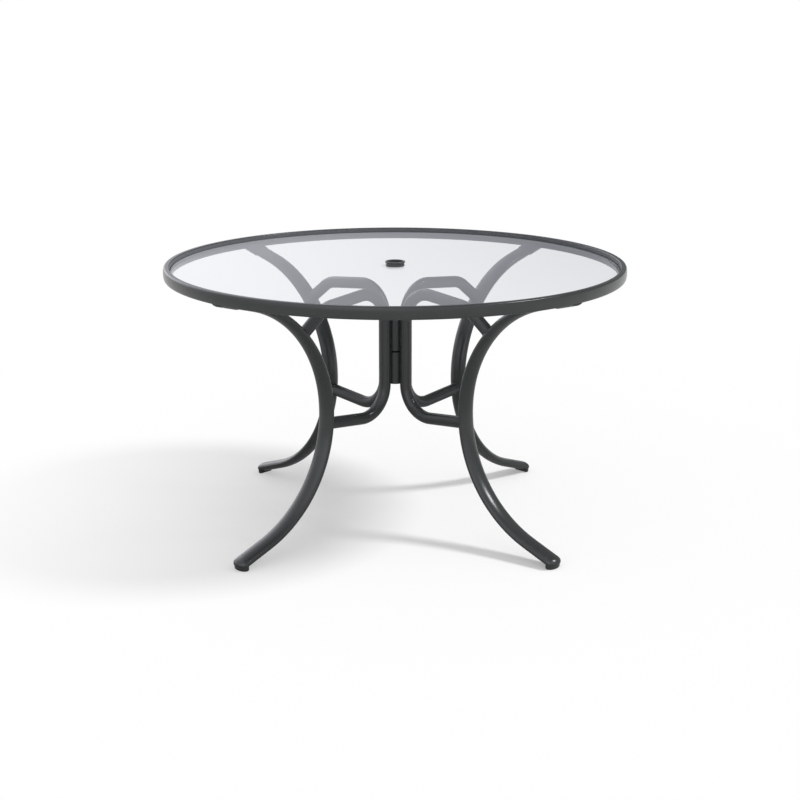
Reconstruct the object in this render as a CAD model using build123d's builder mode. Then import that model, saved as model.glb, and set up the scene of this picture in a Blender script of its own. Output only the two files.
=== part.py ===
from build123d import *
import os
from math import cos, radians, sin, sqrt, tan

# Round patio dining table: a glass panel lies in a rolled aluminium rim, which four
# C-shaped elliptical legs carry. Bent round braces tie the legs to a split hub on the axis,
# and an umbrella pole passes through the ring in the glass and down through the hub.
# Millimetres and degrees. The origin is on the floor below the centre, +Z is up.

# Driving dimensions of the top
table_diameter = 1219.2
table_height = 716.0
rim_height = 31.0
rim_lip_width = 16.0
rim_ledge_width = 5.0
rim_bulge = 2.0
rim_wall = 2.2
rim_outer_round = 5.0
rim_inner_round = 2.5
glass_recess = 13.0
glass_thickness = 5.0
glass_edge_gap = 1.5
glass_edge_round = 1.2
glass_seat_gap = 0.2
gasket_thickness = 1.5
gasket_upstand = 1.0
gasket_upstand_drop = 1.0
gasket_clearance = 0.2

# Driving dimensions of the umbrella ring
ring_bore = 43.0
ring_spigot_wall = 1.4
ring_spigot_gap = 0.3
ring_height = 12.8
ring_lip_diameter = 53.0
ring_lip_height = 4.6
ring_band_diameter = 50.0
ring_band_height = 4.6
ring_neck_depth = 1.4
ring_edge_round = 1.2

# Driving dimensions of the legs
leg_width = 50.8
leg_depth = 25.4
leg_wall = 2.5
leg_foot_inset = 68.6
leg_foot_slope = 19.0
leg_foot_straight = 70.0
leg_top_slope = 15.4
leg_glass_gap = 3.6
leg_rim_gap = 33.6

# Driving dimensions of the hub and its braces
hub_bore = 42.0
hub_wall = 3.0
hub_height = 473.5
hub_length = 178.5
hub_split = 3.5
brace_diameter = 31.75
brace_wall = 2.5
brace_drop = 87.0
brace_glass_gap = 41.625
brace_bend_radius = 80.0
brace_arm_slope = 6.0
brace_knee_reach = 257.0
brace_knee_slope = 37.0
weld_gap = 0.15

# Driving dimensions of the foot glides
glide_lift = 10.0
glide_shank = 13.0
glide_toe = 18.0
glide_heel = 5.5
glide_skirt_inset = 2.0
glide_heel_round = 3.0
glide_sole_round = 5.0
toe_sections = 4
toe_sweep = 80.0

# Driving dimensions of the rim brackets and their screws
spigot_length = 28.0
spigot_clearance = 0.2
bracket_collar = 8.0
bracket_wall = 2.0
bracket_glass_gap = 2.0
bracket_rim_gap = 0.2
bracket_inset = 3.0
screw_diameter = 5.0
screw_length = 11.0
screw_head_diameter = 9.0
screw_head_height = 3.2
screw_spacing = 20.0
screw_pad = 3.0
screw_room = 0.15

corners = {"front_right": -45.0, "back_right": 45.0, "back_left": 135.0, "front_left": -135.0}

# Levels and radii that follow from the driving dimensions
rim_radius = table_diameter / 2
lip_radius = rim_radius - rim_lip_width
ledge_radius = lip_radius - rim_ledge_width
rim_bottom = table_height - rim_height
glass_top = table_height - glass_recess
glass_bottom = glass_top - glass_thickness
glass_radius = lip_radius - glass_edge_gap
ledge_top = glass_bottom - glass_seat_gap - gasket_thickness
ring_bottom = glass_top + glass_seat_gap
ring_spigot_radius = ring_bore / 2 + ring_spigot_wall
glass_hole_radius = ring_spigot_radius + ring_spigot_gap

# The leg's centre-line: an arc about (leg_arc_reach, leg_arc_height) with a straight run at each end
foot_rise = sin(radians(leg_foot_slope))
foot_run = cos(radians(leg_foot_slope))
top_rise = sin(radians(leg_top_slope))
top_run = cos(radians(leg_top_slope))
leg_low_reach = rim_radius - leg_foot_inset
leg_low_height = glide_lift + leg_depth / 2 * foot_run
leg_high_reach = ledge_radius - leg_rim_gap
leg_high_height = glass_bottom - leg_glass_gap - leg_depth / 2 * top_run

# Both straight runs, drawn on past the arc, would meet at these lengths from the leg's ends
leg_spread = leg_high_reach - leg_low_reach
leg_rise = leg_high_height - leg_low_height
low_run_length = (leg_rise * top_run - leg_spread * top_rise) / sin(radians(leg_foot_slope + leg_top_slope))
high_run_length = (leg_spread + low_run_length * foot_run) / top_run
bend_tangent = low_run_length - leg_foot_straight
leg_top_straight = high_run_length - bend_tangent
leg_arc_radius = bend_tangent * tan(radians((leg_foot_slope + leg_top_slope) / 2))
leg_arc_sweep = 180 - leg_foot_slope - leg_top_slope
leg_arc_reach = leg_low_reach - leg_foot_straight * foot_run + leg_arc_radius * foot_rise
leg_arc_height = leg_low_height + leg_foot_straight * foot_rise + leg_arc_radius * foot_run

# The brace's corners, before its bends are rounded
hub_radius = hub_bore / 2 + hub_wall
brace_reach = hub_radius + weld_gap + brace_diameter / 2
brace_bend_tangent = brace_bend_radius * tan(radians(45 + brace_arm_slope / 2))
brace_top = glass_bottom - brace_glass_gap
brace_low_height = hub_height - brace_drop - brace_bend_tangent
brace_high_height = brace_top - brace_diameter / 2 - brace_bend_radius + brace_bend_tangent
brace_knee_height = brace_high_height - (brace_knee_reach - brace_reach) * tan(radians(brace_arm_slope))

# The spigots of the glides and brackets fit inside the tube
spigot_width = leg_width - 2 * leg_wall - 2 * spigot_clearance
spigot_depth = leg_depth - 2 * leg_wall - 2 * spigot_clearance

# The screws stand in the middle of the rim's flat underside
screw_reach = (ledge_radius + rim_radius - rim_bulge - rim_outer_round) / 2
pad_top = rim_bottom - bracket_rim_gap
screw_seat_height = pad_top - screw_pad
screw_tip_height = screw_seat_height + screw_length


def radial_plane(azimuth):
    # Upright plane through the table's axis: local X runs outwards and local Y runs up
    turn = radians(azimuth)
    return Plane(origin=(0, 0, 0), x_dir=(cos(turn), sin(turn), 0), z_dir=(sin(turn), -cos(turn), 0))


def leg_low_plane(azimuth):
    # Plane square to a leg's lower end: local X runs across the leg and local Z runs out of the end
    upright = radial_plane(azimuth)
    outwards = upright.x_dir * foot_run - Vector(0, 0, foot_rise)
    end = upright.from_local_coords((leg_low_reach, leg_low_height))
    return Plane(end, x_dir=upright.z_dir, z_dir=outwards)


def leg_high_plane(azimuth):
    # The same at the leg's upper end
    upright = radial_plane(azimuth)
    outwards = upright.x_dir * top_run + Vector(0, 0, top_rise)
    end = upright.from_local_coords((leg_high_reach, leg_high_height))
    return Plane(end, x_dir=upright.z_dir, z_dir=outwards)


def leg_bar(azimuth, growth):
    # Solid bar along the leg's centre-line, with the leg's ellipse grown all round
    upright = radial_plane(azimuth)
    bend_axis = Axis(upright.from_local_coords((leg_arc_reach, leg_arc_height)), upright.z_dir)
    with BuildPart() as bar:
        with BuildSketch(leg_low_plane(azimuth)):
            Ellipse(leg_width / 2 + growth, leg_depth / 2 + growth)
        extrude(amount=-leg_foot_straight)
        with BuildSketch(leg_high_plane(azimuth)):
            Ellipse(leg_width / 2 + growth, leg_depth / 2 + growth)
        extrude(amount=-leg_top_straight)
        with BuildSketch(leg_high_plane(azimuth).offset(-leg_top_straight)):
            Ellipse(leg_width / 2 + growth, leg_depth / 2 + growth)
        revolve(axis=bend_axis, revolution_arc=leg_arc_sweep)
    return bar.part


def meet_leg(reach, height, slope):
    # Point where a straight run from (reach, height) first meets the leg's centre-line arc
    run = cos(radians(slope))
    rise = sin(radians(slope))
    from_arc = (reach - leg_arc_reach, height - leg_arc_height)
    towards = from_arc[0] * run + from_arc[1] * rise
    spare = from_arc[0] ** 2 + from_arc[1] ** 2 - leg_arc_radius**2
    distance = -towards - sqrt(towards**2 - spare)
    return (reach + distance * run, height + distance * rise)


def save(piece, label):
    piece.label = label
    export_step(piece, f"parts/{label}.step")


os.makedirs("parts", exist_ok=True)

# Rim: a hollow extrusion rolled into a ring, with a ledge below the glass
with BuildPart() as top_rim:
    with BuildSketch(Plane.XZ) as rim_section:
        with BuildLine():
            face_low = (rim_radius - rim_bulge, rim_bottom)
            face_high = (rim_radius - rim_bulge, table_height)
            ThreePointArc(face_low, (rim_radius, rim_bottom + rim_height / 2), face_high)
            Polyline(
                face_high,
                (lip_radius, table_height),
                (lip_radius, ledge_top),
                (ledge_radius, ledge_top),
                (ledge_radius, rim_bottom),
                face_low,
            )
        make_face()
        outer_corners = rim_section.vertices().group_by(Axis.X)[-1]
        fillet(outer_corners, radius=rim_outer_round)
        lip_corner = rim_section.vertices().group_by(Axis.X)[1].sort_by(Axis.Y)[-1]
        fillet(lip_corner, radius=rim_inner_round)
        with BuildLine():
            hollow_outside = rim_radius - rim_bulge - rim_wall
            hollow_top = table_height - rim_wall
            ledge_hollow_top = ledge_top - rim_wall
            Polyline(
                (ledge_radius + rim_wall, rim_bottom + rim_wall),
                (hollow_outside - rim_outer_round, rim_bottom + rim_wall),
                (hollow_outside, rim_bottom + rim_wall + rim_outer_round),
                (hollow_outside, hollow_top - rim_outer_round),
                (hollow_outside - rim_outer_round, hollow_top),
                (lip_radius + rim_wall, hollow_top),
                (lip_radius + rim_wall, ledge_hollow_top),
                (ledge_radius + rim_wall, ledge_hollow_top),
                close=True,
            )
        make_face(mode=Mode.SUBTRACT)
    revolve(axis=Axis.Z)
    for azimuth in corners.values():
        upright = radial_plane(azimuth)
        holes_middle = upright.from_local_coords((screw_reach, rim_bottom))
        with BuildSketch(Plane(holes_middle, x_dir=upright.z_dir, z_dir=(0, 0, 1))):
            with GridLocations(screw_spacing, 0, 2, 1):
                Circle(screw_diameter / 2 + screw_room)
        extrude(amount=screw_tip_height + screw_room - rim_bottom, mode=Mode.SUBTRACT)
save(top_rim.part, "top_rim")

# Gasket: an L-shaped vinyl strip on the ledge, below the glass and round its edge
with BuildPart() as glass_gasket:
    with BuildSketch(Plane.XZ):
        with BuildLine():
            upstand_outside = lip_radius - gasket_clearance
            upstand_inside = upstand_outside - gasket_upstand
            upstand_top = glass_top - gasket_upstand_drop
            strip_top = ledge_top + gasket_thickness
            strip_inside = ledge_radius + gasket_clearance
            Polyline(
                (strip_inside, ledge_top),
                (upstand_outside, ledge_top),
                (upstand_outside, upstand_top),
                (upstand_inside, upstand_top),
                (upstand_inside, strip_top),
                (strip_inside, strip_top),
                close=True,
            )
        make_face()
    revolve(axis=Axis.Z)
save(glass_gasket.part, "glass_gasket")

# Glass: one tempered disc with rounded edges and a hole for the umbrella ring
with BuildPart() as glass_panel:
    with BuildSketch(Plane.XY.offset(glass_bottom)):
        Circle(glass_radius)
        Circle(glass_hole_radius, mode=Mode.SUBTRACT)
    extrude(amount=glass_thickness)
    outer_edges = glass_panel.edges().filter_by(GeomType.CIRCLE).sort_by(SortBy.RADIUS)[-2:]
    fillet(outer_edges, radius=glass_edge_round)
save(glass_panel.part, "glass_panel")

# Umbrella ring: a moulded collar that stands on the glass, with a spigot in the hole
with BuildPart() as umbrella_ring:
    with BuildSketch(Plane.XZ) as ring_section:
        with BuildLine():
            bore_radius = ring_bore / 2
            band_radius = ring_band_diameter / 2
            neck_radius = band_radius - ring_neck_depth
            lip_edge = ring_lip_diameter / 2
            ring_top = ring_bottom + ring_height
            Polyline(
                (bore_radius, glass_bottom),
                (ring_spigot_radius, glass_bottom),
                (ring_spigot_radius, ring_bottom),
                (band_radius, ring_bottom),
                (band_radius, ring_bottom + ring_band_height),
                (neck_radius, ring_bottom + ring_band_height),
                (neck_radius, ring_top - ring_lip_height),
                (lip_edge, ring_top - ring_lip_height),
                (lip_edge, ring_top),
                (bore_radius, ring_top),
                close=True,
            )
        make_face()
        fillet(ring_section.vertices().group_by(Axis.X)[-1], radius=ring_edge_round)
        fillet(ring_section.vertices().group_by(Axis.Y)[-1].sort_by(Axis.X)[0], radius=ring_edge_round)
    revolve(axis=Axis.Z)
save(umbrella_ring.part, "umbrella_ring")

# Hub: two sleeves in line on the axis, with a narrow split between them
sleeve_length = (hub_length - hub_split) / 2
sleeve_bottoms = {
    "hub_sleeve_lower": hub_height - hub_split / 2 - sleeve_length,
    "hub_sleeve_upper": hub_height + hub_split / 2,
}
for label, bottom in sleeve_bottoms.items():
    with BuildPart() as hub_sleeve:
        with BuildSketch(Plane.XY.offset(bottom)):
            Circle(hub_radius)
            Circle(hub_bore / 2, mode=Mode.SUBTRACT)
        extrude(amount=sleeve_length)
    save(hub_sleeve.part, label)

for corner, azimuth in corners.items():
    upright = radial_plane(azimuth)
    low_end_plane = leg_low_plane(azimuth)
    high_end_plane = leg_high_plane(azimuth)
    leg_outside = leg_bar(azimuth, 0)
    leg_inside = leg_bar(azimuth, -leg_wall)
    leg_room = leg_bar(azimuth, weld_gap)

    # Leg: an elliptical tube bent into a C, with a straight run at each end
    with BuildPart() as leg:
        add(leg_outside)
        add(leg_inside, mode=Mode.SUBTRACT)
    save(leg.part, f"leg_{corner}")

    # Brace: a round tube bent from the leg to the hub and back up to the leg, coped at both ends
    with BuildLine(upright) as brace_path:
        FilletPolyline(
            meet_leg(brace_reach, brace_low_height, brace_arm_slope),
            (brace_reach, brace_low_height),
            (brace_reach, brace_high_height),
            (brace_knee_reach, brace_knee_height),
            meet_leg(brace_knee_reach, brace_knee_height, -brace_knee_slope),
            radius=brace_bend_radius,
        )
    with BuildPart() as brace:
        with BuildSketch(Plane(brace_path.line @ 0, z_dir=brace_path.line % 0)):
            Circle(brace_diameter / 2)
            Circle(brace_diameter / 2 - brace_wall, mode=Mode.SUBTRACT)
        sweep(path=brace_path.line)
        add(leg_room, mode=Mode.SUBTRACT)
    save(brace.part, f"brace_{corner}")

    # Foot glide: the leg's ellipse runs on into a rounded toe, with a skirt below it down to a flat sole
    # and a spigot in the tube
    with BuildPart() as foot_glide:
        toe_start = upright.from_local_coords((leg_low_reach + glide_shank * foot_run, 0))
        with BuildSketch(Plane(toe_start, x_dir=upright.x_dir, z_dir=(0, 0, 1))) as sole:
            with BuildLine():
                skirt_side = leg_width / 2 - glide_skirt_inset
                skirt_toe = glide_toe * foot_run - glide_skirt_inset
                EllipticalCenterArc((0, 0), skirt_toe, skirt_side, start_angle=-90, arc_size=180)
                Polyline(
                    (0, skirt_side),
                    (-glide_heel, skirt_side),
                    (-glide_heel, -skirt_side),
                    (0, -skirt_side),
                )
            make_face()
            fillet(sole.vertices().group_by(Axis.X)[0], radius=glide_heel_round)
        extrude(amount=leg_low_height)
        cap_middle = Plane(low_end_plane.origin, x_dir=low_end_plane.x_dir, z_dir=low_end_plane.y_dir)
        split(bisect_by=cap_middle, keep=Keep.TOP)
        fillet(foot_glide.faces().sort_by(Axis.Z)[0].edges(), radius=glide_sole_round)
        for run in range(toe_sections + 1):
            along = sin(radians(toe_sweep * run / toe_sections))
            taper = sqrt(1 - along**2)
            with BuildSketch(low_end_plane.offset(glide_shank + glide_toe * along)):
                Ellipse(leg_width / 2 * taper, leg_depth / 2 * taper)
        loft()
        with BuildSketch(low_end_plane):
            Ellipse(leg_width / 2, leg_depth / 2)
        extrude(amount=glide_shank)
        with BuildSketch(low_end_plane):
            Ellipse(spigot_width / 2, spigot_depth / 2)
        extrude(amount=-spigot_length)
    save(foot_glide.part, f"foot_glide_{corner}")

    # Rim bracket: a casting that carries the leg's line on under the rim, with a collar round the tube's end
    # and a spigot in it, cut away for the glass above and the rim
    with BuildPart() as rim_bracket:
        with BuildSketch(high_end_plane.offset(-bracket_collar)):
            Ellipse(leg_width / 2 + bracket_wall, leg_depth / 2 + bracket_wall)
        extrude(amount=bracket_collar + (rim_radius - leg_high_reach) / top_run)
        with BuildSketch():
            Circle(rim_radius - rim_bulge - bracket_inset)
        extrude(amount=glass_bottom - bracket_glass_gap, mode=Mode.INTERSECT)
        with BuildSketch(Plane.XY.offset(pad_top)):
            Circle(rim_radius)
            Circle(ledge_radius - bracket_rim_gap, mode=Mode.SUBTRACT)
        extrude(amount=rim_height, mode=Mode.SUBTRACT)
        add(leg_room, mode=Mode.SUBTRACT)
        with BuildSketch(high_end_plane):
            Ellipse(spigot_width / 2, spigot_depth / 2)
        extrude(amount=-spigot_length)
        seats_middle = upright.from_local_coords((screw_reach, screw_seat_height))
        seat_plane = Plane(seats_middle, x_dir=upright.z_dir, z_dir=(0, 0, 1))
        with BuildSketch(seat_plane):
            with GridLocations(screw_spacing, 0, 2, 1):
                Circle(screw_diameter / 2 + screw_room)
        extrude(amount=screw_length, mode=Mode.SUBTRACT)
        with BuildSketch(seat_plane):
            with GridLocations(screw_spacing, 0, 2, 1):
                Circle(screw_head_diameter / 2 + screw_room)
        extrude(amount=-leg_depth, mode=Mode.SUBTRACT)
    save(rim_bracket.part, f"rim_bracket_{corner}")

# Rim screws: pan heads below the brackets' pads, with shanks up through the rim's lower wall
with BuildPart() as rim_screws:
    for azimuth in corners.values():
        upright = radial_plane(azimuth)
        seats_middle = upright.from_local_coords((screw_reach, screw_seat_height))
        seat_plane = Plane(seats_middle, x_dir=upright.z_dir, z_dir=(0, 0, 1))
        with BuildSketch(seat_plane):
            with GridLocations(screw_spacing, 0, 2, 1):
                Circle(screw_head_diameter / 2)
        extrude(amount=-screw_head_height)
        with BuildSketch(seat_plane):
            with GridLocations(screw_spacing, 0, 2, 1):
                Circle(screw_diameter / 2)
        extrude(amount=screw_length)
save(rim_screws.part, "rim_screws")
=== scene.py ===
import math

import bmesh
import bpy
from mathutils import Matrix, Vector


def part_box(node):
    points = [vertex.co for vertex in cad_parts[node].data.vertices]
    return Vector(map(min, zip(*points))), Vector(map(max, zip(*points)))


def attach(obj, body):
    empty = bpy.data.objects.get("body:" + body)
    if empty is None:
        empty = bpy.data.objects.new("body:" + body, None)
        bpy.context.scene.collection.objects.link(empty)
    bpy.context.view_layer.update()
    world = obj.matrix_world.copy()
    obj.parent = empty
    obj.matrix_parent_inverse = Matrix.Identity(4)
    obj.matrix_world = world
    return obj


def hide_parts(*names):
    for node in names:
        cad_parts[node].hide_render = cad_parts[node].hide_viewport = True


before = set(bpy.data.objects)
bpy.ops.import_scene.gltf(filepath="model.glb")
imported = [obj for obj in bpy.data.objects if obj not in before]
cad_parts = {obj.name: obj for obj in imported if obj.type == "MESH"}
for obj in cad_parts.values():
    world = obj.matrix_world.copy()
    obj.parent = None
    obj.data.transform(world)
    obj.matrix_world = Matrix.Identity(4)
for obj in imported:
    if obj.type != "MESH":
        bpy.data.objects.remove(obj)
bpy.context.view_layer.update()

# Round patio dining table: clear glass in a rolled rim, on four C-shaped legs tied to a split hub.
# The pieces' dictionaries hold millimetres and degrees, the studio's and the camera's metres and degrees;
# the meshes are metres, in the frame's own place.

scene = bpy.context.scene
mm = 0.001
smoothAngle = 38  # sharper edges than this stay crisp
flatMargin = 0.15  # share of a corner's radius that is kept flat beside it
corners = {"front_right": -45, "back_right": 45, "back_left": 135, "front_left": -135}


def linearColour(hexCode):
    # sRGB hex value to the linear colour that shaders take
    parts = [int(hexCode[i:i + 2], 16) / 255 for i in (1, 3, 5)]
    return (*[p / 12.92 if p <= 0.04045 else ((p + 0.055) / 1.055) ** 2.4 for p in parts], 1)


def addNode(tree, kind, inputs=None, **settings):
    # one node; an input that is a socket gets linked, any other value is set
    node = tree.nodes.new(kind)
    for name, setting in settings.items():
        setattr(node, name, setting)
    for name, value in (inputs or {}).items():
        if isinstance(value, bpy.types.NodeSocket):
            tree.links.new(value, node.inputs[name])
        else:
            node.inputs[name].default_value = value
    return node


def newMaterial(name):
    material = bpy.data.materials.new(name)
    material.use_nodes = True
    material.node_tree.nodes.clear()
    return material, material.node_tree


# noise detail, and where in the noise's range the specks and the change of gloss begin and end
grain = {"cloudDetail": 3.0, "gritDetail": 2.0, "peakStart": 0.52, "peakEnd": 0.72, "glossStart": 0.3, "glossEnd": 0.7}


def grittyFinish(name, look):
    # two close tones in soft clouds, pale specks on the grit's peaks, and grit in the gloss and bump
    material, tree = newMaterial(name)
    place = addNode(tree, "ShaderNodeTexCoord").outputs["Object"]
    clouds = addNode(tree, "ShaderNodeTexNoise", {
        "Vector": place, "Scale": 1 / (look["cloudSize"] * mm), "Detail": grain["cloudDetail"]}).outputs["Fac"]
    grit = addNode(tree, "ShaderNodeTexNoise", {
        "Vector": place, "Scale": 1 / (look["gritSize"] * mm), "Detail": grain["gritDetail"]}).outputs["Fac"]
    tone = addNode(tree, "ShaderNodeMix", {
        0: clouds, 6: linearColour(look["darkTone"]), 7: linearColour(look["lightTone"])},
        data_type="RGBA").outputs[2]
    peaks = addNode(tree, "ShaderNodeMapRange", {
        "Value": grit, "From Min": grain["peakStart"], "From Max": grain["peakEnd"],
        "To Max": look["speckShare"]}).outputs["Result"]
    colour = addNode(tree, "ShaderNodeMix", {
        0: peaks, 6: tone, 7: linearColour(look["speckTone"])}, data_type="RGBA").outputs[2]
    gloss = addNode(tree, "ShaderNodeMapRange", {
        "Value": grit, "From Min": grain["glossStart"], "From Max": grain["glossEnd"],
        "To Min": look["smoothest"], "To Max": look["roughest"]}).outputs["Result"]
    bump = addNode(tree, "ShaderNodeBump", {
        "Height": grit, "Strength": look["gritStrength"], "Distance": look["gritDepth"] * mm}).outputs["Normal"]
    shader = addNode(tree, "ShaderNodeBsdfPrincipled", {
        "Base Color": colour, "Roughness": gloss, "Normal": bump, "Metallic": look.get("metallic", 0.0)})
    if "ior" in look:
        shader.inputs["IOR"].default_value = look["ior"]
    addNode(tree, "ShaderNodeOutputMaterial", {"Surface": shader.outputs["BSDF"]})
    return material


# Polyester powder coat baked on aluminium: dark graphite, a fine sandy skin with a satin sheen.
# Real grit is about 0.3 mm; it is drawn twice as coarse, so that it shows.
powderCoat = grittyFinish("powder_coated_aluminium", {
    "darkTone": "#313333", "lightTone": "#393b3b", "speckTone": "#4d4f51", "speckShare": 0.2,
    "cloudSize": 70, "gritSize": 0.6, "gritDepth": 0.03, "gritStrength": 0.25,
    "smoothest": 0.2, "roughest": 0.3, "ior": 1.36})

# The same coat made paler on the lip's inner wall: painted light, brightening a wall the lamps leave dark
lipPaintedLightCoat = grittyFinish("lip_coat_painted_light", {
    "darkTone": "#55575b", "lightTone": "#5e6064", "speckTone": "#707276", "speckShare": 0.3,
    "cloudSize": 25, "gritSize": 0.6, "gritDepth": 0.03, "gritStrength": 0.25,
    "smoothest": 0.4, "roughest": 0.55, "ior": 1.36})

# The same coat over die-cast aluminium: the casting's skin leaves a coarser orange peel
castCoat = grittyFinish("powder_coated_casting", {
    "darkTone": "#303232", "lightTone": "#383a3a", "speckTone": "#4b4d4f", "speckShare": 0.2,
    "cloudSize": 30, "gritSize": 1.2, "gritDepth": 0.06, "gritStrength": 0.3,
    "smoothest": 0.26, "roughest": 0.38, "ior": 1.36})

# Nylon moulded in a spark-eroded tool: matched to the coat, even and satin, with a faint grain
mouldedNylon = grittyFinish("moulded_nylon", {
    "darkTone": "#303232", "lightTone": "#383a3a", "speckTone": "#4b4d4f", "speckShare": 0.15,
    "cloudSize": 25, "gritSize": 0.6, "gritDepth": 0.02, "gritStrength": 0.25,
    "smoothest": 0.18, "roughest": 0.28, "ior": 1.4})

# Nylon of the umbrella ring, moulded in a coarser tool: a shade paler and duller than the glides
ringNylon = grittyFinish("moulded_ring_nylon", {
    "darkTone": "#333535", "lightTone": "#3c3e3e", "speckTone": "#505254", "speckShare": 0.2,
    "cloudSize": 20, "gritSize": 0.6, "gritDepth": 0.04, "gritStrength": 0.25,
    "smoothest": 0.28, "roughest": 0.4, "ior": 1.54})

# Extruded vinyl strip: soft, matt black with a dull bloom
extrudedVinyl = grittyFinish("extruded_vinyl", {
    "darkTone": "#1e1f1f", "lightTone": "#282929", "speckTone": "#3a3b3b", "speckShare": 0.25,
    "cloudSize": 40, "gritSize": 0.9, "gritDepth": 0.05, "gritStrength": 0.25,
    "smoothest": 0.5, "roughest": 0.65, "ior": 1.52})

# Brushed stainless steel of the screws: pale grey metal with fine scuffs
stainless = grittyFinish("brushed_stainless_steel", {
    "darkTone": "#a7abae", "lightTone": "#bfc3c6", "speckTone": "#d4d7d9", "speckShare": 0.4,
    "cloudSize": 4, "gritSize": 0.35, "gritDepth": 0.02, "gritStrength": 0.3,
    "smoothest": 0.26, "roughest": 0.46, "metallic": 1.0})


def clearGlass(name, look):
    # what is behind shows straight through, under a pale veil that thickens as the view gets lower;
    # the veil is a haze with some blurred mirror in it, and a ray that leaves the sheet from inside passes
    material, tree = newMaterial(name)
    place = addNode(tree, "ShaderNodeTexCoord").outputs["Object"]
    smears = addNode(tree, "ShaderNodeTexNoise", {
        "Vector": place, "Scale": 1 / (look["smearSize"] * mm), "Detail": look["smearDetail"]}).outputs["Fac"]
    gloss = addNode(tree, "ShaderNodeMapRange", {
        "Value": smears, "From Min": look["smearStart"], "From Max": look["smearEnd"],
        "To Min": look["smoothest"], "To Max": look["roughest"]}).outputs["Result"]
    mirror = addNode(tree, "ShaderNodeBsdfAnisotropic", {
        "Color": (1, 1, 1, 1), "Roughness": gloss}).outputs["BSDF"]
    # the haze's tone runs from pale on the left to grey on the right: painted light, as if the left were lit more
    along = addNode(tree, "ShaderNodeSeparateXYZ", {"Vector": place}).outputs["X"]
    across = addNode(tree, "ShaderNodeMapRange", {
        "Value": along, "From Min": -look["paintedGradientReach"] * mm, "From Max": look["paintedGradientReach"] * mm}).outputs["Result"]
    hazePaintedLight = addNode(tree, "ShaderNodeMix", {
        0: across, 6: linearColour(look["hazeLeftPaintedLight"]), 7: linearColour(look["hazeRightPaintedShade"])},
        data_type="RGBA").outputs[2]
    haze = addNode(tree, "ShaderNodeBsdfDiffuse", {"Color": hazePaintedLight}).outputs["BSDF"]
    veil = addNode(tree, "ShaderNodeMixShader", {0: look["mirrorShare"], 1: haze, 2: mirror}).outputs["Shader"]
    light = addNode(tree, "ShaderNodeLightPath")
    tint = addNode(tree, "ShaderNodeMix", {
        0: light.outputs["Is Shadow Ray"],
        6: linearColour(look["bodyTint"]), 7: linearColour(look["shadowTint"])}, data_type="RGBA").outputs[2]
    through = addNode(tree, "ShaderNodeBsdfTransparent", {"Color": tint}).outputs["BSDF"]
    fresnel = addNode(tree, "ShaderNodeFresnel", {"IOR": look["ior"]}).outputs["Fac"]
    fromInside = addNode(tree, "ShaderNodeNewGeometry").outputs["Backfacing"]
    fromOutside = addNode(tree, "ShaderNodeMath", {0: 1.0, 1: fromInside}, operation="SUBTRACT").outputs[0]
    share = addNode(tree, "ShaderNodeMath", {0: fresnel, 1: fromOutside}, operation="MULTIPLY").outputs[0]
    sheet = addNode(tree, "ShaderNodeMixShader", {0: share, 1: through, 2: veil}).outputs["Shader"]
    addNode(tree, "ShaderNodeOutputMaterial", {"Surface": sheet})
    return material


# Tempered clear float glass under a film of dust: a pale veil at a low angle, smeared a little unevenly, its tone
# painted paler on the left and greyer on the right as painted light
temperedGlass = clearGlass("tempered_clear_glass", {
    "ior": 1.5, "bodyTint": "#fbfcfc", "shadowTint": "#999b9b",
    "hazeLeftPaintedLight": "#f1f2fa", "hazeRightPaintedShade": "#bbbcc7", "paintedGradientReach": 600, "mirrorShare": 0.2,
    "smearSize": 45, "smearDetail": 4.0, "smearStart": 0.35, "smearEnd": 0.7, "smoothest": 0.28, "roughest": 0.34})


def groundGlass(name, look):
    # a worked edge of the sheet, faintly frosted
    material, tree = newMaterial(name)
    place = addNode(tree, "ShaderNodeTexCoord").outputs["Object"]
    grind = addNode(tree, "ShaderNodeTexNoise", {
        "Vector": place, "Scale": 1 / (look["grindSize"] * mm), "Detail": look["grindDetail"]}).outputs["Fac"]
    colour = addNode(tree, "ShaderNodeMix", {
        0: grind, 6: linearColour(look["deepTone"]), 7: linearColour(look["paleTone"])},
        data_type="RGBA").outputs[2]
    gloss = addNode(tree, "ShaderNodeMapRange", {
        "Value": grind, "To Min": look["smoothest"], "To Max": look["roughest"]}).outputs["Result"]
    shader = addNode(tree, "ShaderNodeBsdfPrincipled", {
        "Base Color": colour, "Roughness": gloss, "IOR": look["ior"]}).outputs["BSDF"]
    addNode(tree, "ShaderNodeOutputMaterial", {"Surface": shader})
    return material


# Pencil-polished edge of the same sheet: dark grey green, and satin; the green is the glass's own, the dark grey is
# painted shade of the rim it looks into
polishedEdge = groundGlass("polished_glass_edge", {
    "deepTone": "#3a403e", "paleTone": "#4a514e", "grindSize": 2.0, "grindDetail": 3.0,
    "smoothest": 0.12, "roughest": 0.35, "ior": 1.5})

# Hole's edge, only ground: frosted white, with a trace of green
groundEdge = groundGlass("ground_glass_edge", {
    "deepTone": "#e6ebe9", "paleTone": "#f4f6f5", "grindSize": 0.8, "grindDetail": 3.0,
    "smoothest": 0.5, "roughest": 0.7, "ior": 1.5})
print("materials:", len(bpy.data.materials))


# Shapes

def nodeBox(node):
    # corners of a node's box in millimetres
    low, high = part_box(node)
    return low / mm, high / mm


def nodeBore(node):
    # smallest distance from the axis, for a node that goes round it
    return min(math.hypot(v.co.x, v.co.y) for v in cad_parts[node].data.vertices) / mm


def placed(azimuth, reach, height, across=0.0):
    # point in the upright plane at that azimuth, and across it
    turn = math.radians(azimuth)
    x = reach * math.cos(turn) - across * math.sin(turn)
    y = reach * math.sin(turn) + across * math.cos(turn)
    return Vector((x, y, height)) * mm


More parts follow.
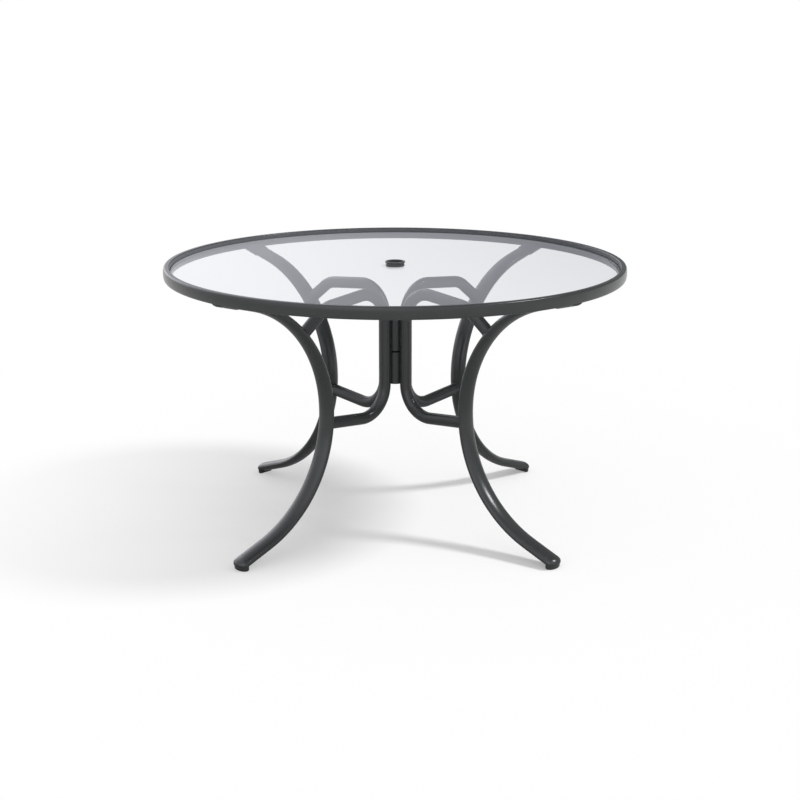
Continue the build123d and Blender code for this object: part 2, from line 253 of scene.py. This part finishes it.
def roundedOutline(points, steps):
    # (reach, height, radius) corners to a closed outline, with an arc for each rounded corner
    # and a point just outside it on both sides, so that the flat beside it shades flat
    outline = []
    for before, corner, after in zip(points[-1:] + points[:-1], points, points[1:] + points[:1]):
        middle = Vector(corner[:2])
        radius = corner[2]
        if not radius:
            outline.append(middle)
            continue
        back = (Vector(before[:2]) - middle).normalized()
        ahead = (Vector(after[:2]) - middle).normalized()
        half = back.angle(ahead) / 2
        centre = middle + (back + ahead).normalized() * radius / math.sin(half)
        first = middle + back * radius / math.tan(half) - centre
        last = middle + ahead * radius / math.tan(half) - centre
        sweep = math.pi - 2 * half
        outline.append(centre + first + back * radius * flatMargin)
        for step in range(steps + 1):
            share = step / steps
            arm = first * math.sin(sweep * (1 - share)) + last * math.sin(sweep * share)
            outline.append(centre + arm / math.sin(sweep))
        outline.append(centre + last + ahead * radius * flatMargin)
    return outline


def turnedMesh(name, outline, segments):
    # closed outline turned about the table's axis
    work = bmesh.new()
    rings = []
    for step in range(segments):
        azimuth = 360 * step / segments
        rings.append([work.verts.new(placed(azimuth, point[0], point[1])) for point in outline])
    for ring, nextRing in zip(rings, rings[1:] + rings[:1]):
        for i in range(len(outline)):
            work.faces.new((ring[i - 1], ring[i], nextRing[i], nextRing[i - 1]))
    bmesh.ops.recalc_face_normals(work, faces=work.faces)
    mesh = bpy.data.meshes.new(name)
    work.to_mesh(mesh)
    work.free()
    return mesh


soft = {"glideRound": 0.9, "bracketRound": 1.2, "roundSteps": 2, "mergeGap": 0.005, "flatAngle": 0.5}


def softenedMesh(name, node, edgeRound):
    # copy of a node with its sharp edges rounded, as on a casting or a moulding
    work = bmesh.new()
    work.from_mesh(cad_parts[node].data)
    bmesh.ops.remove_doubles(work, verts=work.verts, dist=soft["mergeGap"] * mm)
    bmesh.ops.dissolve_limit(work, angle_limit=math.radians(soft["flatAngle"]), verts=work.verts, edges=work.edges)
    sharp = [e for e in work.edges if e.is_manifold and e.calc_face_angle() > math.radians(smoothAngle)]
    bmesh.ops.bevel(work, geom=sharp, offset=edgeRound * mm, segments=soft["roundSteps"], profile=0.5,
                    affect="EDGES", clamp_overlap=True)
    mesh = bpy.data.meshes.new(name)
    work.to_mesh(mesh)
    work.free()
    return mesh


def addPiece(name, mesh, material, body, slot, *nodes):
    # shaded, named object at the origin that rides on its body
    mesh.materials.clear()
    mesh.materials.append(material)
    mesh.shade_smooth()
    mesh.set_sharp_from_angle(angle=math.radians(smoothAngle))
    piece = bpy.data.objects.new(name, mesh)
    scene.collection.objects.link(piece)
    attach(piece, body)
    if nodes:
        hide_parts(*nodes)
    return piece


# Geometry Nodes

def newTree(name, inputs):
    # empty tree with named inputs; gives it back with the sockets of its inputs
    tree = bpy.data.node_groups.new(name, "GeometryNodeTree")
    tree.interface.new_socket("Geometry", in_out="INPUT", socket_type="NodeSocketGeometry")
    for socketName, kind in inputs.items():
        tree.interface.new_socket(socketName, in_out="INPUT", socket_type="NodeSocket" + kind)
    tree.interface.new_socket("Geometry", in_out="OUTPUT", socket_type="NodeSocketGeometry")
    return tree, tree.nodes.new("NodeGroupInput").outputs


def closeTree(tree, geometry, material):
    # every tree ends as one realized mesh in one material
    whole = addNode(tree, "GeometryNodeRealizeInstances", {"Geometry": geometry}).outputs["Geometry"]
    painted = addNode(tree, "GeometryNodeSetMaterial", {"Geometry": whole, "Material": material})
    addNode(tree, "NodeGroupOutput", {"Geometry": painted.outputs["Geometry"]})


def grownMesh(name, tree, points, edges, inputs):
    # runs a tree on points and the edges between them, and gives back a plain mesh
    chain = bpy.data.meshes.new(name + "_path")
    chain.from_pydata(points, edges, [])
    carrier = bpy.data.objects.new(name + "_carrier", chain)
    scene.collection.objects.link(carrier)
    modifier = carrier.modifiers.new(tree.name, "NODES")
    modifier.node_group = tree
    for item in tree.interface.items_tree:
        if item.in_out == "INPUT" and item.name in inputs:
            modifier[item.identifier] = inputs[item.name]
    evaluated = carrier.evaluated_get(bpy.context.evaluated_depsgraph_get())
    mesh = bpy.data.meshes.new_from_object(evaluated)
    mesh.name = name
    carrier.modifiers.remove(modifier)
    bpy.data.objects.remove(carrier)
    bpy.data.meshes.remove(chain)
    return mesh


def bentTubeTree():
    # straight runs, corners rounded to one bend radius, an elliptical section along them
    tree, given = newTree("bentTube", {
        "Width": "Float", "Depth": "Float", "Bend Radius": "Float",
        "Bend Steps": "Int", "Sides": "Int", "Material": "Material"})
    runs = addNode(tree, "GeometryNodeMeshToCurve", {"Mesh": given["Geometry"]}).outputs["Curve"]
    bent = addNode(tree, "GeometryNodeFilletCurve", {
        "Curve": runs, "Count": given["Bend Steps"], "Radius": given["Bend Radius"],
        "Limit Radius": True}, mode="POLY").outputs["Curve"]
    circle = addNode(tree, "GeometryNodeCurvePrimitiveCircle", {
        "Resolution": given["Sides"], "Radius": 0.5}).outputs["Curve"]
    size = addNode(tree, "ShaderNodeCombineXYZ", {
        "X": given["Width"], "Y": given["Depth"], "Z": 1.0}).outputs["Vector"]
    section = addNode(tree, "GeometryNodeTransform", {"Geometry": circle, "Scale": size}).outputs["Geometry"]
    tube = addNode(tree, "GeometryNodeCurveToMesh", {
        "Curve": bent, "Profile Curve": section, "Fill Caps": True}).outputs["Mesh"]
    closeTree(tree, tube, given["Material"])
    return tree


def weldTree():
    # overlapping scales laid along a seam, each a little different
    tree, given = newTree("weldBead", {
        "Width": "Float", "Pitch": "Float", "Unevenness": "Float", "Sides": "Int", "Rings": "Int",
        "Seed": "Int", "Material": "Material"})
    seam = addNode(tree, "GeometryNodeMeshToCurve", {"Mesh": given["Geometry"]}).outputs["Curve"]
    stops = addNode(tree, "GeometryNodeResampleCurve", {
        "Curve": seam, "Length": given["Pitch"]}, mode="LENGTH").outputs["Curve"]
    scale = addNode(tree, "GeometryNodeMeshUVSphere", {
        "Segments": given["Sides"], "Rings": given["Rings"], "Radius": 0.5}).outputs["Mesh"]
    along = addNode(tree, "GeometryNodeInputTangent").outputs["Tangent"]
    turn = addNode(tree, "FunctionNodeAlignRotationToVector", {"Vector": along}, axis="Z").outputs["Rotation"]
    least = addNode(tree, "ShaderNodeMath", {0: 1.0, 1: given["Unevenness"]}, operation="SUBTRACT").outputs[0]
    share = addNode(tree, "FunctionNodeRandomValue", {
        2: least, 3: 1.0, "Seed": given["Seed"]}, data_type="FLOAT").outputs[1]
    size = addNode(tree, "ShaderNodeMath", {0: share, 1: given["Width"]}, operation="MULTIPLY").outputs[0]
    beads = addNode(tree, "GeometryNodeInstanceOnPoints", {
        "Points": stops, "Instance": scale, "Rotation": turn, "Scale": size}).outputs["Instances"]
    closeTree(tree, beads, given["Material"])
    return tree


# Rim, glass and what lies with it

rim = {"lipWidth": 16, "ledgeWidth": 5, "bulge": 2, "outerRound": 5, "innerRound": 2.5,
       "ledgeRound": 0.6, "arcSteps": 6, "paintedLightFacing": 0.97, "segments": 288}
rimLow, rimHigh = nodeBox("top_rim")
gasketLow, gasketHigh = nodeBox("glass_gasket")
rimRadius = rimHigh.x
lipRadius = rimRadius - rim["lipWidth"]
ledgeRadius = lipRadius - rim["ledgeWidth"]
rimMiddle = (rimLow.z + rimHigh.z) / 2
rimQuarter = (rimHigh.z - rimLow.z) / 4  # a quarter of the bulge is gone there
rimSection = roundedOutline([
    (rimRadius - rim["bulge"], rimLow.z, rim["outerRound"]),
    (rimRadius - rim["bulge"] / 4, rimMiddle - rimQuarter, 0),
    (rimRadius, rimMiddle, 0),
    (rimRadius - rim["bulge"] / 4, rimMiddle + rimQuarter, 0),
    (rimRadius - rim["bulge"], rimHigh.z, rim["outerRound"]),
    (lipRadius, rimHigh.z, rim["innerRound"]),
    (lipRadius, gasketLow.z, 0),
    (ledgeRadius, gasketLow.z, rim["ledgeRound"]),
    (ledgeRadius, rimLow.z, rim["ledgeRound"])], rim["arcSteps"])
rimPiece = addPiece("rim_extrusion", turnedMesh("rim_extrusion", rimSection, rim["segments"]),
                    powderCoat, "base", "frame", "top_rim")
rimPiece.data.materials.append(lipPaintedLightCoat)
# faces of the lip's inner wall take the paler coat, which is painted light
for face in rimPiece.data.polygons:
    outwards = Vector((face.center.x, face.center.y, 0))
    onLip = outwards.length > (lipRadius + ledgeRadius) / 2 * mm
    facesIn = face.normal.dot(outwards.normalized()) < -rim["paintedLightFacing"]
    face.material_index = 1 if onLip and facesIn else 0

gasket = {"thickness": 1.5, "upstand": 1, "edgeRound": 0.3, "arcSteps": 3, "segments": 288}
upstandInside = gasketHigh.x - gasket["upstand"]
stripTop = gasketLow.z + gasket["thickness"]
gasketBore = nodeBore("glass_gasket")
gasketSection = roundedOutline([
    (gasketBore, gasketLow.z, 0),
    (gasketHigh.x, gasketLow.z, 0),
    (gasketHigh.x, gasketHigh.z, gasket["edgeRound"]),
    (upstandInside, gasketHigh.z, gasket["edgeRound"]),
    (upstandInside, stripTop, 0),
    (gasketBore, stripTop, gasket["edgeRound"])], gasket["arcSteps"])
addPiece("gasket_strip", turnedMesh("gasket_strip", gasketSection, gasket["segments"]),
         extrudedVinyl, "base", "gasket", "glass_gasket")

glass = {"edgeRound": 1.2, "holeRound": 0.5, "arcSteps": 4, "flatFacing": 0.99, "segments": 288}
glassLow, glassHigh = nodeBox("glass_panel")
holeRadius = nodeBore("glass_panel")
glassSection = roundedOutline([
    (holeRadius, glassLow.z, glass["holeRound"]),
    (glassHigh.x, glassLow.z, glass["edgeRound"]),
    (glassHigh.x, glassHigh.z, glass["edgeRound"]),
    (holeRadius, glassHigh.z, glass["holeRound"])], glass["arcSteps"])
glassSheet = addPiece("glass_sheet", turnedMesh("glass_sheet", glassSection, glass["segments"]),
                      temperedGlass, "glass_top", "glass", "glass_panel")
glassSheet.data.materials.append(polishedEdge)
glassSheet.data.materials.append(groundEdge)
for face in glassSheet.data.polygons:
    atHole = math.hypot(face.center.x, face.center.y) < glassHigh.x / 2 * mm
    face.material_index = 0 if abs(face.normal.z) > glass["flatFacing"] else 2 if atHole else 1

ring = {"lipHeight": 4.6, "bandHeight": 4.6, "bandDiameter": 50, "neckDepth": 1.4, "spigotWall": 1.4,
        "edgeRound": 1.2, "fineRound": 0.4, "arcSteps": 4, "seatGap": 0.2, "segments": 96}
ringLow, ringHigh = nodeBox("umbrella_ring")
ringBore = nodeBore("umbrella_ring")
ringSeat = glassHigh.z + ring["seatGap"]
bandRadius = ring["bandDiameter"] / 2
neckRadius = bandRadius - ring["neckDepth"]
ringSection = roundedOutline([
    (ringBore, ringLow.z, ring["fineRound"]),
    (ringBore + ring["spigotWall"], ringLow.z, ring["fineRound"]),
    (ringBore + ring["spigotWall"], ringSeat, 0),
    (bandRadius, ringSeat, ring["fineRound"]),
    (bandRadius, ringSeat + ring["bandHeight"], ring["fineRound"]),
    (neckRadius, ringSeat + ring["bandHeight"], ring["fineRound"]),
    (neckRadius, ringHigh.z - ring["lipHeight"], ring["fineRound"]),
    (ringHigh.x, ringHigh.z - ring["lipHeight"], ring["edgeRound"]),
    (ringHigh.x, ringHigh.z, ring["edgeRound"]),
    (ringBore, ringHigh.z, ring["edgeRound"])], ring["arcSteps"])
addPiece("pole_ring", turnedMesh("pole_ring", ringSection, ring["segments"]),
         ringNylon, "ring", "ring", "umbrella_ring")
print("top: rim, gasket, glass and ring")


# Hub, legs and braces

hub = {"edgeRound": 0.8, "arcSteps": 3, "segments": 72}
for level in ("lower", "upper"):
    sleeveLow, sleeveHigh = nodeBox("hub_sleeve_" + level)
    sleeveBore = nodeBore("hub_sleeve_" + level)
    sleeveSection = roundedOutline([
        (sleeveBore, sleeveLow.z, hub["edgeRound"]),
        (sleeveHigh.x, sleeveLow.z, hub["edgeRound"]),
        (sleeveHigh.x, sleeveHigh.z, hub["edgeRound"]),
        (sleeveBore, sleeveHigh.z, hub["edgeRound"])], hub["arcSteps"])
    addPiece("hub_tube_" + level, turnedMesh("hub_tube_" + level, sleeveSection, hub["segments"]),
             powderCoat, "base", "frame", "hub_sleeve_" + level)
hubLow = nodeBox("hub_sleeve_lower")[0]
hubHigh = nodeBox("hub_sleeve_upper")[1]
hubRadius = hubHigh.x
hubMiddle = (hubLow.z + hubHigh.z) / 2

leg = {"width": 50.8, "depth": 25.4, "footInset": 68.6, "footSlope": 19, "footStraight": 70,
       "topSlope": 15.4, "rimGap": 33.6, "bendSteps": 64, "sides": 48}
footSlope = math.radians(leg["footSlope"])
topSlope = math.radians(leg["topSlope"])
legLow, legHigh = nodeBox("leg_front_right")
legFoot = Vector((rimRadius - leg["footInset"], legLow.z + leg["depth"] / 2 * math.cos(footSlope)))
legTop = Vector((ledgeRadius - leg["rimGap"], legHigh.z - leg["depth"] / 2 * math.cos(topSlope)))
footWay = Vector((-math.cos(footSlope), math.sin(footSlope)))
topWay = Vector((-math.cos(topSlope), -math.sin(topSlope)))
footRun = (legTop - legFoot).cross(topWay) / footWay.cross(topWay)
legApex = legFoot + footWay * footRun  # where the two end runs would meet
legBend = (footRun - leg["footStraight"]) * math.tan((footSlope + topSlope) / 2)
bendCentre = legFoot + footWay * leg["footStraight"] + Vector((footWay.y, -footWay.x)) * legBend

brace = {"diameter": 31.75, "straight": 174, "bendRadius": 80, "armSlope": 6, "kneeReach": 257,
         "kneeSlope": 37, "weldGap": 0.15, "bendSteps": 24, "sides": 40}
braceReach = hubRadius + brace["weldGap"] + brace["diameter"] / 2
armSlope = math.radians(brace["armSlope"])
kneeSlope = math.radians(brace["kneeSlope"])
braceRise = brace["straight"] / 2 + brace["bendRadius"] * math.tan((math.pi / 2 + armSlope) / 2)
kneeHeight = hubMiddle + braceRise - (brace["kneeReach"] - braceReach) * math.tan(armSlope)


def alongToLeg(start, direction, offset):
    # how far a line from start goes before it meets the bend at that offset from the leg's centre-line
    arm = Vector(start) - bendCentre
    towards = arm.dot(direction)
    return -towards - math.sqrt(towards ** 2 - arm.length_squared + (legBend + offset) ** 2)


braceEnds = {
    "low": (Vector((braceReach, hubMiddle - braceRise)), Vector((math.cos(armSlope), math.sin(armSlope)))),
    "high": (Vector((brace["kneeReach"], kneeHeight)), Vector((math.cos(kneeSlope), -math.sin(kneeSlope))))}
meets = {end: start + way * alongToLeg(start, way, 0) for end, (start, way) in braceEnds.items()}
legRuns = [legFoot, legApex, legTop]
braceRuns = [meets["low"], braceEnds["low"][0], (braceReach, hubMiddle + braceRise),
             braceEnds["high"][0], meets["high"]]

tubeTree = bentTubeTree()
for corner, azimuth in corners.items():
    for kind, runs, sizes in (("leg", legRuns, leg), ("brace", braceRuns, brace)):
        points = [placed(azimuth, run[0], run[1]) for run in runs]
        edges = [(i, i + 1) for i in range(len(points) - 1)]
        width = sizes.get("width", sizes.get("diameter"))
        mesh = grownMesh(f"{kind}_tube_{corner}", tubeTree, points, edges, {
            "Width": width * mm, "Depth": sizes.get("depth", width) * mm,
            "Bend Radius": sizes.get("bendRadius", legBend) * mm,
            "Bend Steps": sizes["bendSteps"], "Sides": sizes["sides"], "Material": powderCoat})
        addPiece(f"{kind}_tube_{corner}", mesh, powderCoat, "base", "frame", f"{kind}_{corner}")
print("frame tubes: 4 legs, 4 braces, 2 hub sleeves")


# Weld beads round each coped brace end, and stitches between the braces and the hub

weld = {"width": 4.2, "pitch": 1.7, "unevenness": 0.25, "sides": 8, "rings": 6, "seed": 7, "loopSteps": 48,
        "stitchLength": 26, "stitchAcross": 5.4, "stitchReach": 24.4}
weldPoints = []
weldEdges = []
for azimuth in corners.values():
    for start, way in braceEnds.values():
        upwards = Vector((-way.y, way.x))
        first = len(weldPoints)
        for step in range(weld["loopSteps"]):
            turn = 2 * math.pi * step / weld["loopSteps"]
            across = brace["diameter"] / 2 * math.cos(turn)
            side = start + upwards * (brace["diameter"] / 2 * math.sin(turn))
            swell = leg["depth"] / 2 * math.sqrt(1 - (2 * across / leg["width"]) ** 2)
            seam = side + way * alongToLeg(side, way, swell)
            weldPoints.append(placed(azimuth, seam.x, seam.y, across))
            weldEdges.append((first + step, first + (step + 1) % weld["loopSteps"]))
    for level in ("lower", "upper"):
        sleeveLow, sleeveHigh = nodeBox("hub_sleeve_" + level)
        middle = (sleeveLow.z + sleeveHigh.z) / 2
        for across in (-weld["stitchAcross"], weld["stitchAcross"]):
            for rise in (-0.5, 0.5):
                weldPoints.append(placed(azimuth, weld["stitchReach"], middle + rise * weld["stitchLength"], across))
            weldEdges.append((len(weldPoints) - 2, len(weldPoints) - 1))
weldMesh = grownMesh("weld_beads", weldTree(), weldPoints, weldEdges, {
    "Width": weld["width"] * mm, "Pitch": weld["pitch"] * mm, "Unevenness": weld["unevenness"],
    "Sides": weld["sides"], "Rings": weld["rings"], "Seed": weld["seed"], "Material": powderCoat})
addPiece("weld_beads", weldMesh, powderCoat, "base", "frame")
print("weld beads:", len(weldMesh.polygons), "faces")


# Glides and brackets

for corner in corners:
    glideMesh = softenedMesh("glide_" + corner, "foot_glide_" + corner, soft["glideRound"])
    addPiece("glide_" + corner, glideMesh, mouldedNylon, "base", "glides", "foot_glide_" + corner)
    bracketMesh = softenedMesh("bracket_" + corner, "rim_bracket_" + corner, soft["bracketRound"])
    addPiece("bracket_" + corner, bracketMesh, castCoat, "base", "brackets", "rim_bracket_" + corner)
print("glides and brackets: 4 each")


# Rim screws: pan heads with a hex socket, driven from below

screw = {"headDiameter": 9, "headHeight": 3.2, "headRound": 1.3, "shankDiameter": 5, "tipRound": 0.5,
         "socketAcross": 3, "socketDepth": 1.7, "socketStep": 60, "spacing": 20, "arcSteps": 4, "sides": 36, "seed": 3}
screwLow, screwHigh = nodeBox("rim_screws")
screwSeat = screwLow.z + screw["headHeight"]
screwReach = (screwHigh.x - screw["headDiameter"] / 2) * math.sqrt(2) - screw["spacing"] / 2


def screwMesh():
    # rings from the socket's floor out over the head and up the shank, with the seat at height 0;
    # a ring with no radius follows the socket's six flats
    under = -screw["headHeight"]
    headRadius = screw["headDiameter"] / 2
    shankRadius = screw["shankDiameter"] / 2
    length = screwHigh.z - screwSeat
    rings = [(None, under + screw["socketDepth"]), (None, under)]
    for step in range(screw["arcSteps"] + 1):
        turn = math.pi / 2 * step / screw["arcSteps"]
        rings.append((headRadius - screw["headRound"] * (1 - math.sin(turn)),
                      under + screw["headRound"] * (1 - math.cos(turn))))
    rings += [(headRadius, 0), (shankRadius, 0), (shankRadius, length - screw["tipRound"]),
              (shankRadius - screw["tipRound"], length)]
    work = bmesh.new()
    loops = []
    halfStep = screw["socketStep"] / 2
    for radius, height in rings:
        loop = []
        for side in range(screw["sides"]):
            turn = 360 * side / screw["sides"]
            fromFlat = (turn + halfStep) % screw["socketStep"] - halfStep
            flat = screw["socketAcross"] / 2 / math.cos(math.radians(fromFlat))
            loop.append(work.verts.new(placed(turn, radius or flat, height)))
        loops.append(loop)
    for loop, nextLoop in zip(loops, loops[1:]):
        for i in range(screw["sides"]):
            work.faces.new((loop[i - 1], loop[i], nextLoop[i], nextLoop[i - 1]))
    work.faces.new(loops[0])
    work.faces.new(loops[-1])
    bmesh.ops.recalc_face_normals(work, faces=work.faces)
    mesh = bpy.data.meshes.new("screw_shape")
    work.to_mesh(mesh)
    work.free()
    return mesh


def screwTree():
    # one screw on every point, each stopped at its own turn
    tree, given = newTree("screwSet", {"Screw": "Object", "Seed": "Int", "Material": "Material"})
    shape = addNode(tree, "GeometryNodeObjectInfo", {"Object": given["Screw"]}).outputs["Geometry"]
    turn = addNode(tree, "FunctionNodeRandomValue", {
        2: 0.0, 3: math.radians(screw["socketStep"]), "Seed": given["Seed"]}, data_type="FLOAT").outputs[1]
    about = addNode(tree, "ShaderNodeCombineXYZ", {"Z": turn}).outputs["Vector"]
    screws = addNode(tree, "GeometryNodeInstanceOnPoints", {
        "Points": given["Geometry"], "Instance": shape, "Rotation": about}).outputs["Instances"]
    closeTree(tree, screws, given["Material"])
    return tree


screwPoints = [placed(azimuth, screwReach, screwSeat, side * screw["spacing"])
               for azimuth in corners.values() for side in (-0.5, 0.5)]
screwShape = bpy.data.objects.new("screw_shape", screwMesh())
scene.collection.objects.link(screwShape)
screwSet = grownMesh("rim_screw_set", screwTree(), screwPoints, [], {
    "Screw": screwShape, "Seed": screw["seed"], "Material": stainless})
bpy.data.objects.remove(screwShape)
addPiece("rim_screw_set", screwSet, stainless, "base", "screws", "rim_screws")
print("rim screws:", len(screwPoints))


# Floor, light and camera

studio = {
    "floorRadius": 40, "floorSegments": 96, "floorTone": "#ffffff",
    "fadeStart": 1.7, "fadeEnd": 3.2,  # where the shadows fade to plain white
    # the paling to the left is painted light: white glow mixed into the floor over its shadows
    "shadeNear": -0.2, "shadeFar": -1.5, "shadeDepth": 0.72, "shadeCurve": 1.6,  # and how they pale to the left
    # painted shade: the floor round the table is darker, only for mirrored rays
    "dimNear": 0.7, "dimFar": 1.8, "dimShare": 0.6,  # floor round the table, as the tubes mirror it
    "ambient": 0.52, "frontGain": 0.6,
    "wallMiddle": 0.6, "wallSlope": -2.5, "wallLeast": 0.25, "wallMost": 1.3, "wallTint": (0.985, 0.985, 1.06),
    "stripNear": -0.12, "stripFar": -0.5, "stripTone": 1.6, "frontTone": 1.3,
    "horizon": 0.01, "hazeTop": 0.09}


def backgroundRays(tree):
    # 1 for rays that should see the plain white surroundings, 0 for those that light the object
    light = addNode(tree, "ShaderNodeLightPath").outputs
    seen = addNode(tree, "ShaderNodeMath", {
        0: light["Is Camera Ray"], 1: light["Is Glossy Ray"]}, operation="MAXIMUM").outputs[0]
    return addNode(tree, "ShaderNodeMath", {
        0: seen, 1: light["Is Transmission Ray"]}, operation="MAXIMUM").outputs[0]


def buildWorld():
    # the camera sees plain white; mirrored rays see a faintly blue studio wall above a white horizon,
    # brighter in front and on the left, and brightest at the back on that side
    world = bpy.data.worlds.new("studio_surroundings")
    world.use_nodes = True
    tree = world.node_tree
    tree.nodes.clear()
    towards = addNode(tree, "ShaderNodeTexCoord").outputs["Generated"]
    parts = addNode(tree, "ShaderNodeSeparateXYZ", {"Vector": towards}).outputs
    slope = addNode(tree, "ShaderNodeMath", {
        0: parts["X"], 1: studio["wallSlope"], 2: studio["wallMiddle"]}, operation="MULTIPLY_ADD").outputs[0]
    plainTone = addNode(tree, "ShaderNodeClamp", {
        "Value": slope, "Min": studio["wallLeast"], "Max": studio["wallMost"]}).outputs[0]
    aside = addNode(tree, "ShaderNodeMapRange", {
        "Value": parts["X"], "From Min": studio["stripNear"], "From Max": studio["stripFar"],
        "To Max": studio["stripTone"]}, interpolation_type="SMOOTHSTEP").outputs["Result"]
    behind = addNode(tree, "ShaderNodeClamp", {"Value": parts["Y"]}).outputs[0]
    stripTone = addNode(tree, "ShaderNodeMath", {
        0: aside, 1: behind, 2: plainTone}, operation="MULTIPLY_ADD").outputs[0]
    before = addNode(tree, "ShaderNodeMath", {0: parts["Y"], 1: -1.0}, operation="MULTIPLY").outputs[0]
    ahead = addNode(tree, "ShaderNodeClamp", {"Value": before}).outputs[0]
    wallTone = addNode(tree, "ShaderNodeMath", {
        0: ahead, 1: studio["frontTone"], 2: stripTone}, operation="MULTIPLY_ADD").outputs[0]
    height = addNode(tree, "ShaderNodeMapRange", {
        "Value": parts["Z"], "From Min": studio["horizon"], "From Max": studio["hazeTop"]}).outputs["Result"]
    mirrored = addNode(tree, "ShaderNodeLightPath").outputs["Is Glossy Ray"]
    shown = addNode(tree, "ShaderNodeMath", {0: height, 1: mirrored}, operation="MULTIPLY").outputs[0]
    wallColour = addNode(tree, "ShaderNodeVectorMath", {
        0: studio["wallTint"], "Scale": wallTone}, operation="SCALE").outputs["Vector"]
    backdrop = addNode(tree, "ShaderNodeMix", {
        0: shown, 6: (1, 1, 1, 1), 7: wallColour}, data_type="RGBA").outputs[2]
    seen = addNode(tree, "ShaderNodeBackground", {"Color": backdrop, "Strength": 1.0}).outputs[0]
    ambient = addNode(tree, "ShaderNodeMath", {
        0: before, 1: studio["frontGain"] * studio["ambient"], 2: studio["ambient"]},
        operation="MULTIPLY_ADD").outputs[0]
    lit = addNode(tree, "ShaderNodeBackground", {"Color": (1, 1, 1, 1), "Strength": ambient}).outputs[0]
    both = addNode(tree, "ShaderNodeMixShader", {0: backgroundRays(tree), 1: lit, 2: seen}).outputs[0]
    addNode(tree, "ShaderNodeOutputWorld", {"Surface": both})
    scene.world = world


def buildFloor():
    # white sweep: shadows are deepest towards the lamp; to the left a white glow is painted over them, painted light
    # that pales them, and further out they fade to plain white;
    # close to the table the floor is painted darker for mirrored rays, painted shade that keeps the tubes' edges dark
    work = bmesh.new()
    bmesh.ops.create_circle(work, cap_ends=True, segments=studio["floorSegments"], radius=studio["floorRadius"])
    mesh = bpy.data.meshes.new("floor")
    work.to_mesh(mesh)
    work.free()
    material, tree = newMaterial("white_paper_sweep")
    place = addNode(tree, "ShaderNodeTexCoord").outputs["Object"]
    distance = addNode(tree, "ShaderNodeVectorMath", {0: place}, operation="LENGTH").outputs["Value"]
    near = addNode(tree, "ShaderNodeMapRange", {
        "Value": distance, "From Min": studio["fadeEnd"], "From Max": studio["fadeStart"]},
        interpolation_type="SMOOTHSTEP").outputs["Result"]
    along = addNode(tree, "ShaderNodeSeparateXYZ", {"Vector": place}).outputs["X"]
    # painted light: the shadows keep their depth on the lamp's side and give way to white glow to the left
    paintedFalloff = addNode(tree, "ShaderNodeMapRange", {
        "Value": along, "From Min": studio["shadeFar"], "From Max": studio["shadeNear"]}).outputs["Result"]
    fall = addNode(tree, "ShaderNodeMath", {0: paintedFalloff, 1: studio["shadeCurve"]}, operation="POWER").outputs[0]
    depth = addNode(tree, "ShaderNodeMath", {0: fall, 1: studio["shadeDepth"]}, operation="MULTIPLY").outputs[0]
    shade = addNode(tree, "ShaderNodeMath", {0: depth, 1: near}, operation="MULTIPLY").outputs[0]
    glow = addNode(tree, "ShaderNodeMath", {0: 1.0, 1: shade}, operation="SUBTRACT").outputs[0]
    share = addNode(tree, "ShaderNodeMath", {0: glow, 1: backgroundRays(tree)}, operation="MULTIPLY").outputs[0]
    paper = addNode(tree, "ShaderNodeBsdfDiffuse", {"Color": linearColour(studio["floorTone"])}).outputs[0]
    white = addNode(tree, "ShaderNodeEmission", {"Color": (1, 1, 1, 1), "Strength": 1.0}).outputs[0]
    both = addNode(tree, "ShaderNodeMixShader", {0: share, 1: paper, 2: white}).outputs[0]
    # painted shade: near the table the floor turns darker for mirrored rays
    underTable = addNode(tree, "ShaderNodeMapRange", {
        "Value": distance, "From Min": studio["dimFar"], "From Max": studio["dimNear"],
        "To Max": studio["dimShare"]}, interpolation_type="SMOOTHSTEP").outputs["Result"]
    mirrored = addNode(tree, "ShaderNodeLightPath").outputs["Is Glossy Ray"]
    dimmed = addNode(tree, "ShaderNodeMath", {0: underTable, 1: mirrored}, operation="MULTIPLY").outputs[0]
    sweep = addNode(tree, "ShaderNodeMixShader", {0: dimmed, 1: both}).outputs[0]  # the open second socket is black
    addNode(tree, "ShaderNodeOutputMaterial", {"Surface": sweep})
    mesh.materials.append(material)
    floor = bpy.data.objects.new("floor", mesh)
    scene.collection.objects.link(floor)


lamp = {"strength": 2.07, "spread": 12, "azimuth": -6.6, "elevation": 46.7}


def buildLamp():
    # soft key light far off, high on the right and a little in front
    sun = bpy.data.lights.new("key_light", "SUN")
    sun.energy = lamp["strength"]
    sun.angle = math.radians(lamp["spread"])
    azimuth = math.radians(lamp["azimuth"])
    elevation = math.radians(lamp["elevation"])
    towards = Vector((
        math.cos(elevation) * math.cos(azimuth), math.cos(elevation) * math.sin(azimuth), math.sin(elevation)))
    holder = bpy.data.objects.new("key_light", sun)
    holder.rotation_euler = towards.to_track_quat("Z", "Y").to_euler()
    scene.collection.objects.link(holder)


view = {"lens": 63.897, "sensor": 36, "place": (-0.04855, -3.73178, 1.35737), "tilt": 15.345, "turn": -0.944}


def buildCamera():
    # the photograph's own view, fitted to the rim and the feet
    lens = bpy.data.cameras.new("photo_view")
    lens.lens = view["lens"]
    lens.sensor_width = view["sensor"]
    holder = bpy.data.objects.new("photo_view", lens)
    holder.location = view["place"]
    holder.rotation_euler = (math.radians(90 - view["tilt"]), 0, math.radians(view["turn"]))
    scene.collection.objects.link(holder)
    scene.camera = holder


buildWorld()
buildFloor()
buildLamp()
buildCamera()
scene.view_settings.view_transform = "Standard"
print("studio: floor, key light, surroundings and camera")
